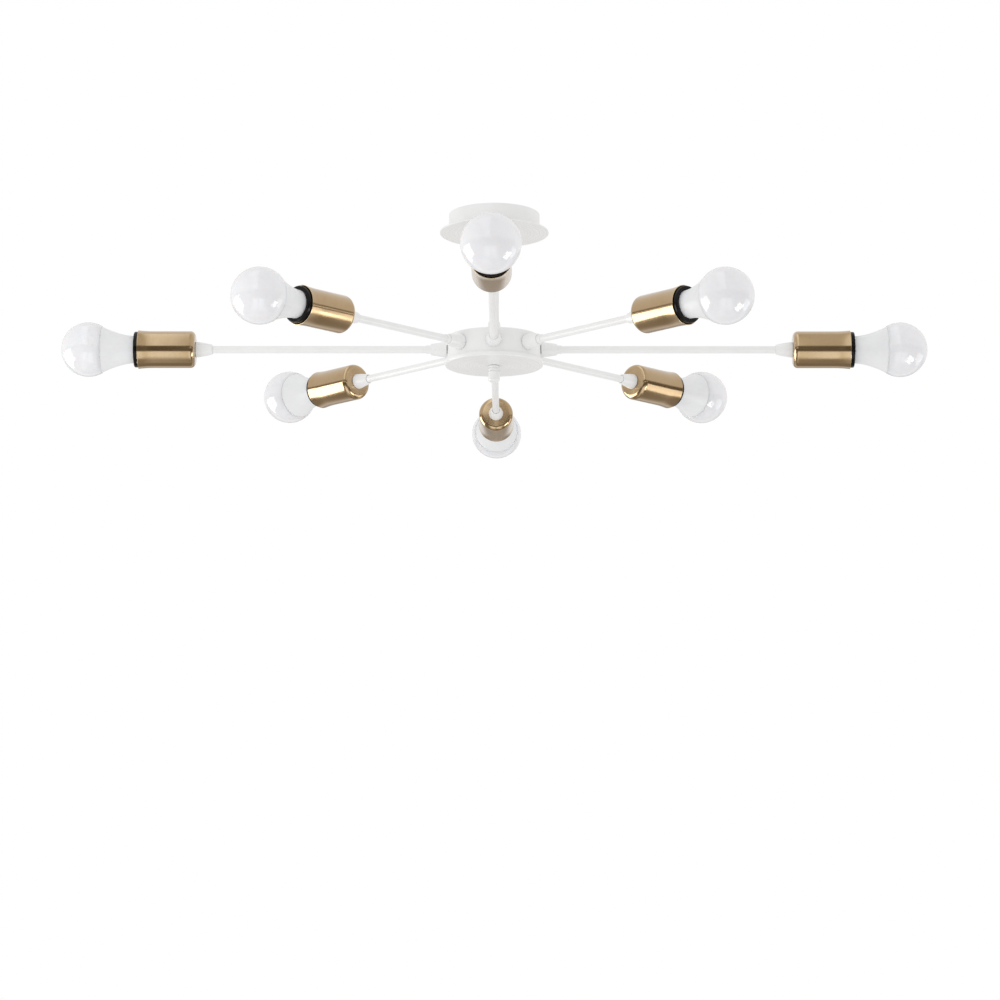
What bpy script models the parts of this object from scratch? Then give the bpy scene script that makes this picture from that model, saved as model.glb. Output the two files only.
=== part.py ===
"""Ceiling light with four long and four short arms, each ending in a brass cup with a screw-in bulb.

Metres, +Z up. The origin is the centre of the ceiling bracket's top face, on the ceiling.
Each arm's pieces hang on an empty at the hub's centre whose Z axis points out along the arm.
"""

import math

import bmesh
import bpy
from mathutils import Matrix, Vector

MM = 0.001

# Layout
ARM_COUNT = 8
ARMS_BELOW_CEILING = 153 * MM
LONG_TUBE = 240 * MM  # free tube between root cone and socket ferrule
SHORT_TUBE = 134 * MM
GAP = 0.3 * MM  # left between pieces that touch or fit together

# Steps around each kind of turned piece
HUB_STEPS = 40
ROD_STEPS = 16
SOCKET_STEPS = 18
ARM_STEPS = 12
BORE_STEPS = 24

# Ceiling bracket, its studs and cap nuts
STRAP_CLEARANCE = 3 * MM  # from the strap's ends to the canopy cup's wall
STRAP_WIDTH = 20 * MM
STRAP_THICKNESS = 2 * MM
STUD_FROM_END = 8 * MM
STUD_RADIUS = 2 * MM
SLOT_FROM_STUD = 16 * MM
SLOT_LENGTH = 16 * MM
SLOT_WIDTH = 5 * MM
CAP_NUT_RADIUS = 4.5 * MM
CAP_NUT_HEIGHT = 7 * MM
CAP_NUT_DEPTH = 5 * MM  # thread depth, from the nut's seat

# Canopy: cup against the ceiling, plate under it
CANOPY_RADIUS = 50 * MM
CANOPY_HEIGHT = 19.2 * MM
CANOPY_WALL = 1 * MM
CANOPY_FILLET = 2 * MM
PLATE_RADIUS = 60 * MM
PLATE_THICKNESS = 1.7 * MM

# Terminal block
BLOCK_LENGTH = 30 * MM
BLOCK_WIDTH = 16 * MM
BLOCK_HEIGHT = 13 * MM
BLOCK_OFFSET = 28 * MM
POLE_COUNT = 3
POLE_PITCH = 9 * MM
WIRE_HOLE_RADIUS = 1.6 * MM
SCREW_HOLE_RADIUS = 1.4 * MM
SCREW_HOLE_DEPTH = 5 * MM

# Downrod, its nut and the cone over the hub
ROD_RADIUS = 5.25 * MM
ROD_WALL = 1.25 * MM
ROD_TIP_RADIUS = 4 * MM
ROD_ABOVE_CUP_FLOOR = 10 * MM
ROD_FLANGE_RADIUS = 9 * MM
ROD_FLANGE_HEIGHT = 3 * MM
ROD_SHOULDER_DEPTH = 8 * MM  # full-size rod inside the drum
ROD_IN_FINIAL = 9 * MM
WIRE_WINDOW_RADIUS = 2.6 * MM
NUT_ACROSS_CORNERS = 18 * MM
NUT_HEIGHT = 5 * MM
CONE_RADIUS = 8.75 * MM
CONE_TIP_WALL = 0.65 * MM  # metal around the rod at the cone's tip
CONE_LENGTH = 17.4 * MM

# Hub drum and cover
DRUM_RADIUS = 51.5 * MM
DRUM_HEIGHT = 27 * MM
DRUM_WALL = 1.5 * MM
DRUM_FILLET = 1.5 * MM
BOSS_RADIUS = 7.5 * MM
BOSS_LENGTH = 5 * MM
COVER_OVERHANG = 2.5 * MM
COVER_HEIGHT = 4.5 * MM
COVER_FLOOR = 1.5 * MM
COVER_ROUNDING = 2.2 * MM
LIP_HEIGHT = 2.5 * MM
LIP_WALL = 1.5 * MM

# Finial
FINIAL_RADIUS = 6.3 * MM
FINIAL_GROOVE_RADIUS = 5.4 * MM
FINIAL_LENGTH = 17.5 * MM
FINIAL_COLLAR = 2.4 * MM
FINIAL_GROOVE = 0.9 * MM
FINIAL_ROUNDING = 3 * MM

# Arm tube with its threaded stub and collar
TUBE_RADIUS = 4 * MM
TUBE_WALL = 1 * MM
STUB_RADIUS = 5 * MM
STUB_PAST_BOSS = 1 * MM
COLLAR_WALL = 0.7 * MM
COLLAR_LENGTH = 5 * MM
CONE_STEP = 1.5 * MM  # from the collar out to the root cone's tip
TUBE_IN_HOLDER = 6.5 * MM

# Socket ferrule
FERRULE_TIP_WALL = 1 * MM
FERRULE_RADIUS = 8.6 * MM
FERRULE_LENGTH = 18.2 * MM

# Brass cup
CUP_RADIUS = 20.25 * MM
CUP_LENGTH = 62.7 * MM
CUP_FLARE = 1 * MM  # how much wider the mouth is
CUP_FLARE_LENGTH = 18 * MM
CUP_WALL = 0.9 * MM
CUP_FILLET = 5.5 * MM

# Lampholder for an E27 cap
HOLDER_PROUD = 4.5 * MM  # ring outside the cup
HOLDER_RING_LENGTH = 8 * MM
HOLDER_MOUTH_SHARE = 0.44  # where the mouth's edge lies between the bore and the holder's side
HOLDER_MOUTH_DEPTH = 3.2 * MM
HOLDER_ROUNDING = 1.2 * MM
HOLDER_THREAD_SPACE = 0.4 * MM  # from the bulb's cap to the bore
HOLDER_CONTACT_SPACE = 3.5 * MM  # from the bulb's contact to the bore's floor
HOLDER_WIRE_RADIUS = 2.5 * MM

# Bulb, measured out from the holder's front face
BULB_RADIUS = 30 * MM
BULB_REACH = 80.5 * MM
BULB_SEAM_OFFSET = 15 * MM  # from the dome's centre back to its seam with the housing
BULB_SEAM_STEP = 1 * MM  # how far the housing stays inside the dome's edge
BULB_NECK_SPACE = 1 * MM  # from the neck to the holder's mouth
BULB_NECK_BELOW = 1 * MM
CAP_RADIUS = 13.2 * MM
CAP_LENGTH = 28 * MM  # from the front face back to the contact's end
CAP_TAPER = 3.5 * MM
CAP_END_RADIUS = 6 * MM
CONTACT_RADIUS = 4.6 * MM
CONTACT_THICKNESS = 1.5 * MM

# Heights and distances that follow from the sizes above
CUP_FLOOR = CANOPY_WALL - CANOPY_HEIGHT
PLATE_TOP = -CANOPY_HEIGHT - GAP
PLATE_BOTTOM = PLATE_TOP - PLATE_THICKNESS
DRUM_TOP = DRUM_HEIGHT / 2 - ARMS_BELOW_CEILING
DRUM_BOTTOM = DRUM_TOP - DRUM_HEIGHT
COVER_TOP = DRUM_BOTTOM - GAP
COVER_BOTTOM = COVER_TOP - COVER_HEIGHT
FINIAL_TOP = COVER_BOTTOM - GAP
STRAP_LENGTH = 2 * (CANOPY_RADIUS - CANOPY_WALL - STRAP_CLEARANCE)
STUD_OFFSET = STRAP_LENGTH / 2 - STUD_FROM_END
SLOT_OFFSET = STUD_OFFSET - SLOT_FROM_STUD
ROD_CONE_TIP = ROD_RADIUS + GAP + CONE_TIP_WALL
BOSS_INNER = DRUM_RADIUS - DRUM_WALL - BOSS_LENGTH
COVER_RADIUS = DRUM_RADIUS + COVER_OVERHANG
CONE_BASE = DRUM_RADIUS + GAP
COLLAR_RADIUS = TUBE_RADIUS + COLLAR_WALL
ARM_CONE_TIP = COLLAR_RADIUS + CONE_STEP
FERRULE_TIP_RADIUS = TUBE_RADIUS + GAP + FERRULE_TIP_WALL
HOLDER_RADIUS = CUP_RADIUS - CUP_WALL - GAP
HOLDER_BORE_RADIUS = CAP_RADIUS + HOLDER_THREAD_SPACE
HOLDER_BORE_DEPTH = CAP_LENGTH + HOLDER_CONTACT_SPACE
HOLDER_MOUTH_RADIUS = HOLDER_BORE_RADIUS + (HOLDER_RADIUS - HOLDER_BORE_RADIUS) * HOLDER_MOUTH_SHARE
BULB_NECK_RADIUS = HOLDER_MOUTH_RADIUS - BULB_NECK_SPACE


def clear_scene():
    for obj in list(bpy.data.objects):
        bpy.data.objects.remove(obj, do_unlink=True)


def new_collection(name, hidden=False):
    collection = bpy.data.collections.new(name)
    bpy.context.scene.collection.children.link(collection)
    collection.hide_render = hidden
    return collection


def new_material(name, colour, roughness, metallic):
    material = bpy.data.materials.new(name)
    material.use_nodes = True
    shader = material.node_tree.nodes["Principled BSDF"]
    shader.inputs["Base Color"].default_value = (*colour, 1)
    shader.inputs["Roughness"].default_value = roughness
    shader.inputs["Metallic"].default_value = metallic
    return material


def new_object(name, mesh, collection, material=None, parent=None, location=(0, 0, 0)):
    obj = bpy.data.objects.new(name, mesh)
    collection.objects.link(obj)
    obj.location = location
    obj.parent = parent
    if material and not mesh.materials:
        mesh.materials.append(material)
    return obj


def arc(centre, radius, start, end, steps):
    """Points on an arc in the profile plane. Angles in degrees from +X towards +Z."""
    angles = [math.radians(start + (end - start) * i / steps) for i in range(steps + 1)]
    return [(centre[0] + radius * math.cos(a), centre[1] + radius * math.sin(a)) for a in angles]


def profile_mesh(name, profile):
    """A half section of (radius, height) points. It closes on itself unless it starts on the axis."""
    points = [(radius, 0, height) for radius, height in profile]
    edges = [(i, i + 1) for i in range(len(points) - 1)]
    if profile[0][0] > 0:
        edges.append((len(points) - 1, 0))
    mesh = bpy.data.meshes.new(name)
    mesh.from_pydata(points, edges, [])
    return mesh


def add_turning(obj, steps):
    screw = obj.modifiers.new("Turned", "SCREW")
    screw.axis = "Z"
    screw.angle = math.tau
    screw.steps = steps
    screw.render_steps = steps
    screw.use_merge_vertices = True
    screw.merge_threshold = 0.01 * MM
    screw.use_smooth_shade = True


def cylinder(name, collection, radius, length, matrix, steps=BORE_STEPS, stretch=0.0):
    """A closed cylinder centred on its matrix, or a slot shape stretched along Y by this much."""
    mesh = bpy.data.meshes.new(name)
    cage = bmesh.new()
    half_step = Matrix.Rotation(math.pi / steps, 4, "Z")
    bmesh.ops.create_cone(
        cage,
        cap_ends=True,
        segments=steps,
        radius1=radius,
        radius2=radius,
        depth=length,
        matrix=half_step,
    )
    for vertex in cage.verts:
        vertex.co.y += math.copysign(stretch / 2, vertex.co.y)
    cage.to_mesh(mesh)
    cage.free()
    obj = new_object(name, mesh, collection)
    obj.matrix_world = matrix
    return obj


def as_helper(obj):
    obj.hide_render = True
    obj.display_type = "WIRE"
    return obj


def cut(obj, helpers, operation="DIFFERENCE"):
    boolean = obj.modifiers.new(helpers.name, "BOOLEAN")
    boolean.solver = "EXACT"
    boolean.operation = operation
    boolean.operand_type = "COLLECTION"
    boolean.collection = helpers


def upright(x, y, low, high):
    return Matrix.Translation(Vector((x, y, (low + high) / 2)))


def along_arm(index, inner, outer):
    """Matrix of a cylinder that lies on an arm's axis between two distances from the hub's centre."""
    turn = Matrix.Rotation(arm_azimuth(index), 4, "Z") @ Matrix.Rotation(math.pi / 2, 4, "Y")
    height = Matrix.Translation(Vector((0, 0, -ARMS_BELOW_CEILING)))
    return height @ turn @ Matrix.Translation(Vector((0, 0, (inner + outer) / 2)))


def arm_azimuth(index):
    return -math.pi / 2 + math.tau * index / ARM_COUNT


def build_bracket(parts, material):
    studs = new_collection("bracket_studs", hidden=True)
    slots = new_collection("bracket_slots", hidden=True)
    stud_end = PLATE_BOTTOM - CAP_NUT_DEPTH
    for side in (-1, 1):
        stud_at = upright(0, side * STUD_OFFSET, stud_end, -STRAP_THICKNESS / 2)
        stud_length = -STRAP_THICKNESS / 2 - stud_end
        as_helper(cylinder("stud", studs, STUD_RADIUS, stud_length, stud_at, ARM_STEPS))
        slot_at = upright(0, side * SLOT_OFFSET, -2 * STRAP_THICKNESS, STRAP_THICKNESS)
        slot_stretch = SLOT_LENGTH - SLOT_WIDTH
        slot_cut = 3 * STRAP_THICKNESS
        as_helper(cylinder("slot", slots, SLOT_WIDTH / 2, slot_cut, slot_at, stretch=slot_stretch))
    strap_at = upright(0, 0, -STRAP_THICKNESS, 0)
    strap_stretch = STRAP_LENGTH - STRAP_WIDTH
    strap = cylinder(
        "ceiling_bracket", parts, STRAP_WIDTH / 2, STRAP_THICKNESS, strap_at, stretch=strap_stretch
    )
    strap.data.materials.append(material)
    cut(strap, studs, "UNION")
    cut(strap, slots)


def build_cap_nuts(parts, material):
    seat = PLATE_BOTTOM - GAP
    bore = STUD_RADIUS + GAP
    profile = [(0, seat - CAP_NUT_DEPTH), (bore, seat - CAP_NUT_DEPTH), (bore, seat), (CAP_NUT_RADIUS, seat)]
    crown = CAP_NUT_HEIGHT - CAP_NUT_RADIUS
    profile += arc((0, seat - crown), CAP_NUT_RADIUS, 0, -90, 4)
    profile[-1] = (0, profile[-1][1])
    mesh = profile_mesh("canopy_nut", profile)
    for number, side in enumerate((-1, 1), start=1):
        nut = new_object(f"canopy_nut_{number}", mesh, parts, material, location=(0, side * STUD_OFFSET, 0))
        add_turning(nut, ARM_STEPS)


def stud_holes(name, low, high):
    holes = new_collection(name, hidden=True)
    for side in (-1, 1):
        hole_at = upright(0, side * STUD_OFFSET, low - GAP, high + GAP)
        length = high - low + 2 * GAP
        as_helper(cylinder("stud_hole", holes, STUD_RADIUS + GAP, length, hole_at))
    return holes


def build_canopy_cup(parts, material):
    bore = ROD_RADIUS + GAP
    inner_fillet = max(CANOPY_FILLET - CANOPY_WALL, CANOPY_FILLET / 4)
    profile = [(CANOPY_RADIUS, 0)]
    profile += arc(
        (CANOPY_RADIUS - CANOPY_FILLET, CANOPY_FILLET - CANOPY_HEIGHT), CANOPY_FILLET, 0, -90, 3
    )
    profile += [(bore, -CANOPY_HEIGHT), (bore, CUP_FLOOR)]
    inner_wall = CANOPY_RADIUS - CANOPY_WALL
    profile += arc((inner_wall - inner_fillet, CUP_FLOOR + inner_fillet), inner_fillet, -90, 0, 2)
    profile += [(inner_wall, 0)]
    cup = new_object("canopy_cup", profile_mesh("canopy_cup", profile), parts, material)
    add_turning(cup, HUB_STEPS)
    cut(cup, stud_holes("canopy_cup_holes", -CANOPY_HEIGHT, CUP_FLOOR))


def build_canopy_plate(parts, material):
    bore = ROD_RADIUS + GAP
    edge = PLATE_THICKNESS / 3
    profile = [
        (PLATE_RADIUS - edge, PLATE_TOP),
        (PLATE_RADIUS, PLATE_TOP - edge),
        (PLATE_RADIUS, PLATE_BOTTOM + edge),
        (PLATE_RADIUS - edge, PLATE_BOTTOM),
        (bore, PLATE_BOTTOM),
        (bore, PLATE_TOP),
    ]
    plate = new_object("canopy_plate", profile_mesh("canopy_plate", profile), parts, material)
    add_turning(plate, HUB_STEPS)
    cut(plate, stud_holes("canopy_plate_holes", PLATE_BOTTOM, PLATE_TOP))


def build_terminal_block(parts, material):
    holes = new_collection("terminal_holes", hidden=True)
    bottom = CUP_FLOOR + GAP
    middle = bottom + BLOCK_HEIGHT / 2
    along_x = Matrix.Rotation(math.pi / 2, 4, "Y")
    for pole in range(POLE_COUNT):
        y = (pole - (POLE_COUNT - 1) / 2) * POLE_PITCH
        wire_at = Matrix.Translation(Vector((BLOCK_OFFSET, y, middle - BLOCK_HEIGHT / 6))) @ along_x
        as_helper(cylinder("wire_hole", holes, WIRE_HOLE_RADIUS, BLOCK_WIDTH * 2, wire_at, ARM_STEPS))
        top = bottom + BLOCK_HEIGHT
        for x in (BLOCK_OFFSET - BLOCK_WIDTH / 4, BLOCK_OFFSET + BLOCK_WIDTH / 4):
            screw_at = upright(x, y, top - SCREW_HOLE_DEPTH, top + GAP)
            length = SCREW_HOLE_DEPTH + GAP
            as_helper(cylinder("screw_hole", holes, SCREW_HOLE_RADIUS, length, screw_at, ARM_STEPS))
    mesh = bpy.data.meshes.new("terminal_block")
    cage = bmesh.new()
    size = Matrix.Diagonal(Vector((BLOCK_WIDTH, BLOCK_LENGTH, BLOCK_HEIGHT, 1)))
    bmesh.ops.create_cube(cage, size=1, matrix=size)
    cage.to_mesh(mesh)
    cage.free()
    block = new_object("terminal_block", mesh, parts, material, location=(BLOCK_OFFSET, 0, middle))
    cut(block, holes)


def build_downrod(parts, material):
    top = CUP_FLOOR + ROD_ABOVE_CUP_FLOOR
    flange_top = PLATE_BOTTOM - GAP
    flange_bottom = flange_top - ROD_FLANGE_HEIGHT
    shoulder = DRUM_TOP - DRUM_WALL - ROD_SHOULDER_DEPTH
    tip = FINIAL_TOP - ROD_IN_FINIAL
    bore = ROD_RADIUS - ROD_WALL
    tip_bore = ROD_TIP_RADIUS - ROD_WALL
    profile = [
        (ROD_RADIUS, top),
        (ROD_RADIUS, flange_top),
        (ROD_FLANGE_RADIUS, flange_top),
        (ROD_FLANGE_RADIUS, flange_bottom),
        (ROD_RADIUS, flange_bottom),
        (ROD_RADIUS, shoulder),
        (ROD_TIP_RADIUS, shoulder),
        (ROD_TIP_RADIUS, tip),
        (tip_bore, tip),
        (tip_bore, shoulder),
        (bore, shoulder + ROD_WALL),
        (bore, top),
    ]
    rod = new_object("downrod", profile_mesh("downrod", profile), parts, material)
    add_turning(rod, ROD_STEPS)
    windows = new_collection("rod_windows", hidden=True)
    window_height = DRUM_TOP - DRUM_WALL - ROD_SHOULDER_DEPTH / 2 + ROD_WALL / 2
    across = Matrix.Translation(Vector((0, 0, window_height))) @ Matrix.Rotation(math.pi / 2, 4, "X")
    as_helper(cylinder("window", windows, WIRE_WINDOW_RADIUS, 4 * ROD_RADIUS, across))
    cut(rod, windows)


def build_rod_nut(parts, material):
    bottom = CUP_FLOOR + GAP
    nut_at = upright(0, 0, bottom, bottom + NUT_HEIGHT)
    nut = cylinder("rod_top_nut", parts, NUT_ACROSS_CORNERS / 2, NUT_HEIGHT, nut_at, steps=6)
    nut.data.materials.append(material)
    bores = new_collection("nut_bore", hidden=True)
    as_helper(cylinder("nut_hole", bores, ROD_RADIUS + GAP, 2 * NUT_HEIGHT, nut_at))
    cut(nut, bores)


def build_rod_ferrule(parts, material):
    bore = ROD_RADIUS + GAP
    bottom = DRUM_TOP + GAP
    profile = [
        (ROD_CONE_TIP, bottom + CONE_LENGTH),
        (CONE_RADIUS, bottom),
        (bore, bottom),
        (bore, bottom + CONE_LENGTH),
    ]
    ferrule = new_object("rod_ferrule", profile_mesh("rod_ferrule", profile), parts, material)
    add_turning(ferrule, ROD_STEPS)


def build_drum(parts, material):
    bore = ROD_RADIUS + GAP
    inner_wall = DRUM_RADIUS - DRUM_WALL
    profile = [(bore, DRUM_TOP)]
    profile += arc((DRUM_RADIUS - DRUM_FILLET, DRUM_TOP - DRUM_FILLET), DRUM_FILLET, 90, 0, 3)
    profile += [(DRUM_RADIUS, DRUM_BOTTOM), (inner_wall, DRUM_BOTTOM)]
    profile += [(inner_wall, DRUM_TOP - DRUM_WALL), (bore, DRUM_TOP - DRUM_WALL)]
    drum = new_object("hub_drum", profile_mesh("hub_drum", profile), parts, material)
    add_turning(drum, HUB_STEPS)
    bosses = new_collection("drum_bosses", hidden=True)
    bores = new_collection("drum_bores", hidden=True)
    # The boss's outer end stays inside the curved wall at its rim as well as at its centre.
    boss_outer = math.sqrt((DRUM_RADIUS - DRUM_WALL / 2) ** 2 - BOSS_RADIUS**2)
    for index in range(ARM_COUNT):
        boss_at = along_arm(index, BOSS_INNER, boss_outer)
        as_helper(cylinder("boss", bosses, BOSS_RADIUS, boss_outer - BOSS_INNER, boss_at, ROD_STEPS))
        bore_at = along_arm(index, BOSS_INNER - GAP, CONE_BASE)
        bore_length = CONE_BASE - BOSS_INNER + GAP
        as_helper(cylinder("stub_bore", bores, STUB_RADIUS + GAP, bore_length, bore_at, ROD_STEPS))
    cut(drum, bosses, "UNION")
    cut(drum, bores)


def build_cover(parts, material):
    bore = ROD_TIP_RADIUS + GAP
    lip_outer = DRUM_RADIUS - DRUM_WALL - GAP
    lip_inner = lip_outer - LIP_WALL
    profile = [(lip_inner, COVER_TOP + LIP_HEIGHT), (lip_outer, COVER_TOP + LIP_HEIGHT)]
    profile += [(lip_outer, COVER_TOP), (COVER_RADIUS, COVER_TOP)]
    profile += arc(
        (COVER_RADIUS - COVER_ROUNDING, COVER_BOTTOM + COVER_ROUNDING), COVER_ROUNDING, 0, -90, 3
    )
    profile += [(bore, COVER_BOTTOM), (bore, COVER_BOTTOM + COVER_FLOOR)]
    profile += [(lip_inner, COVER_BOTTOM + COVER_FLOOR)]
    cover = new_object("hub_cover", profile_mesh("hub_cover", profile), parts, material)
    add_turning(cover, HUB_STEPS)


def build_finial(parts, material):
    bore = ROD_TIP_RADIUS + GAP
    hole_end = FINIAL_TOP - ROD_IN_FINIAL - GAP
    profile = [(0, hole_end), (bore, hole_end), (bore, FINIAL_TOP)]
    height = FINIAL_TOP
    for _ in range(2):
        profile += [(FINIAL_RADIUS, height), (FINIAL_RADIUS, height - FINIAL_COLLAR)]
        height -= FINIAL_COLLAR
        profile += [(FINIAL_GROOVE_RADIUS, height), (FINIAL_GROOVE_RADIUS, height - FINIAL_GROOVE)]
        height -= FINIAL_GROOVE
    end = FINIAL_TOP - FINIAL_LENGTH
    profile += [(FINIAL_RADIUS, height)]
    profile += arc((FINIAL_RADIUS - FINIAL_ROUNDING, end + FINIAL_ROUNDING), FINIAL_ROUNDING, 0, -90, 3)
    profile += [(0, end)]
    finial = new_object("finial", profile_mesh("finial", profile), parts, material)
    add_turning(finial, ROD_STEPS)


def arm_section(tube_length):
    """Half section of an arm, with heights measured out from the hub's centre."""
    bore = TUBE_RADIUS - TUBE_WALL
    cone_end = CONE_BASE + CONE_LENGTH
    cup_base = cone_end + tube_length + FERRULE_LENGTH + GAP
    tube_end = cup_base + CUP_WALL + GAP + TUBE_IN_HOLDER
    return [
        (TUBE_RADIUS, tube_end),
        (TUBE_RADIUS, cone_end + COLLAR_LENGTH),
        (COLLAR_RADIUS, cone_end + COLLAR_LENGTH),
        (COLLAR_RADIUS, cone_end),
        (ARM_CONE_TIP, cone_end),
        (CONE_RADIUS, CONE_BASE),
        (STUB_RADIUS, CONE_BASE),
        (STUB_RADIUS, BOSS_INNER - STUB_PAST_BOSS),
        (bore, BOSS_INNER - STUB_PAST_BOSS),
        (bore, tube_end),
    ]


def ferrule_section():
    """Half section of the socket ferrule: a quarter ellipse from its seat at height 0 back to its tip."""
    bore = TUBE_RADIUS + GAP
    swell = FERRULE_RADIUS - FERRULE_TIP_RADIUS
    turns = [math.radians(90 * i / 4) for i in range(5)]
    outline = [(FERRULE_TIP_RADIUS + swell * math.cos(t), -FERRULE_LENGTH * math.sin(t)) for t in turns]
    return outline + [(bore, -FERRULE_LENGTH), (bore, 0)]


def cup_outer_radius(height):
    """The cup widens towards its mouth along a shallow curve."""
    flare_start = CUP_LENGTH - CUP_FLARE_LENGTH
    share = max(0.0, (height - flare_start) / CUP_FLARE_LENGTH)
    return CUP_RADIUS + CUP_FLARE * share**2


def cup_section():
    """Half section of the brass cup, closed end at height 0."""
    bore = TUBE_RADIUS + GAP
    heights = [CUP_LENGTH - CUP_FLARE_LENGTH * i / 2 for i in range(3)]
    inner_fillet = CUP_FILLET - CUP_WALL
    inner_wall = CUP_RADIUS - CUP_WALL
    outer = [(cup_outer_radius(h), h) for h in heights]
    outer += arc((CUP_RADIUS - CUP_FILLET, CUP_FILLET), CUP_FILLET, 0, -90, 2)
    inner = [(bore, 0), (bore, CUP_WALL)]
    inner += arc((inner_wall - inner_fillet, CUP_WALL + inner_fillet), inner_fillet, -90, 0, 1)
    inner += [(cup_outer_radius(h) - CUP_WALL, h) for h in reversed(heights)]
    return outer + inner


def holder_section():
    """Half section of the lampholder, in the cup's own heights."""
    front = CUP_LENGTH + HOLDER_PROUD
    back = CUP_WALL + GAP
    ring_back = front - HOLDER_RING_LENGTH
    ring = cup_outer_radius(ring_back) - CUP_WALL - GAP
    pocket = TUBE_RADIUS + GAP
    pocket_end = back + TUBE_IN_HOLDER + GAP
    bore_end = front - HOLDER_BORE_DEPTH
    profile = [(HOLDER_MOUTH_RADIUS, front)]
    profile += arc((ring - HOLDER_ROUNDING, front - HOLDER_ROUNDING), HOLDER_ROUNDING, 90, 0, 1)
    profile += [(ring, ring_back), (HOLDER_RADIUS, ring_back - GAP), (HOLDER_RADIUS, back + CUP_FILLET)]
    profile += [(HOLDER_RADIUS - CUP_FILLET, back), (pocket, back), (pocket, pocket_end)]
    profile += [(HOLDER_WIRE_RADIUS, pocket_end), (HOLDER_WIRE_RADIUS, bore_end)]
    shoulder = front - HOLDER_MOUTH_DEPTH
    profile += [(HOLDER_BORE_RADIUS, bore_end), (HOLDER_BORE_RADIUS, shoulder)]
    profile += [(HOLDER_MOUTH_RADIUS, shoulder)]
    return profile


def bulb_section():
    """Half section of the bulb, with height 0 at the holder's front face."""
    centre = BULB_REACH - BULB_RADIUS
    seam = centre - BULB_SEAM_OFFSET
    seam_angle = -math.degrees(math.asin(BULB_SEAM_OFFSET / BULB_RADIUS))
    profile = arc((0, centre), BULB_RADIUS, 90, seam_angle, 8)
    profile[0] = (0, BULB_REACH)
    seam_radius = profile[-1][0] - BULB_SEAM_STEP
    # The housing narrows from the seam to the neck along an S curve.
    for i in range(3):
        share = i / 2
        radius = BULB_NECK_RADIUS + (seam_radius - BULB_NECK_RADIUS) * (1 - share) ** 1.5
        profile.append((radius, (seam - GAP) * (1 - share)))
    cap_end = CONTACT_THICKNESS + GAP - CAP_LENGTH
    profile += [(BULB_NECK_RADIUS, -BULB_NECK_BELOW), (CAP_RADIUS, -BULB_NECK_BELOW)]
    profile += [(CAP_RADIUS, cap_end + CAP_TAPER), (CAP_END_RADIUS, cap_end), (0, cap_end)]
    return profile


def contact_section():
    """Half section of the bulb's centre contact, in the bulb's own heights."""
    end = -CAP_LENGTH
    top = end + CONTACT_THICKNESS
    return [(0, top), (CONTACT_RADIUS, top), (CONTACT_RADIUS * 0.8, end), (0, end)]


def build_arms(parts, materials):
    kinds = {
        "long": (LONG_TUBE, profile_mesh("arm_long", arm_section(LONG_TUBE))),
        "short": (SHORT_TUBE, profile_mesh("arm_short", arm_section(SHORT_TUBE))),
    }
    ferrule = profile_mesh("socket_ferrule", ferrule_section())
    cup = profile_mesh("socket_cup", cup_section())
    holder = profile_mesh("lampholder", holder_section())
    bulb = profile_mesh("bulb", bulb_section())
    contact = profile_mesh("bulb_contact", contact_section())
    for index in range(ARM_COUNT):
        tube_length, arm = kinds["short" if index % 2 else "long"]
        axis = bpy.data.objects.new(f"arm_axis_{index + 1}", None)
        parts.objects.link(axis)
        axis.location = (0, 0, -ARMS_BELOW_CEILING)
        axis.rotation_euler = (0, math.pi / 2, arm_azimuth(index))
        ferrule_seat = CONE_BASE + CONE_LENGTH + tube_length + FERRULE_LENGTH
        cup_base = ferrule_seat + GAP
        front = cup_base + CUP_LENGTH + HOLDER_PROUD
        pieces = [
            ("arm", arm, "white_paint", ARM_STEPS, 0),
            ("socket_ferrule", ferrule, "white_ferrule", ARM_STEPS, ferrule_seat),
            ("socket_cup", cup, "brushed_brass", SOCKET_STEPS, cup_base),
            ("lampholder", holder, "black_phenolic", SOCKET_STEPS, cup_base),
            ("bulb_contact", contact, "contact_tin", ARM_STEPS, front),
            ("bulb", bulb, "opal_bulb", SOCKET_STEPS, front),
        ]
        for name, mesh, slot, steps, distance in pieces:
            name = f"{name}_{index + 1}"
            piece = new_object(name, mesh, parts, materials[slot], axis, (0, 0, distance))
            add_turning(piece, steps)


def build_materials():
    return {
        "white_paint": new_material("white_paint", (0.86, 0.86, 0.85), 0.35, 0),
        "white_ferrule": new_material("white_ferrule", (0.86, 0.86, 0.85), 0.3, 0),
        "canopy_white": new_material("canopy_white", (0.85, 0.85, 0.84), 0.4, 0),
        "hub_white": new_material("hub_white", (0.85, 0.85, 0.84), 0.38, 0),
        "brushed_brass": new_material("brushed_brass", (0.42, 0.24, 0.09), 0.3, 1),
        "black_phenolic": new_material("black_phenolic", (0.015, 0.014, 0.014), 0.25, 0),
        "opal_bulb": new_material("opal_bulb", (0.88, 0.87, 0.87), 0.2, 0),
        "contact_tin": new_material("contact_tin", (0.6, 0.6, 0.6), 0.4, 1),
        "zinc_steel": new_material("zinc_steel", (0.6, 0.62, 0.64), 0.35, 1),
        "block_nylon": new_material("block_nylon", (0.8, 0.8, 0.76), 0.5, 0),
    }


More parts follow.
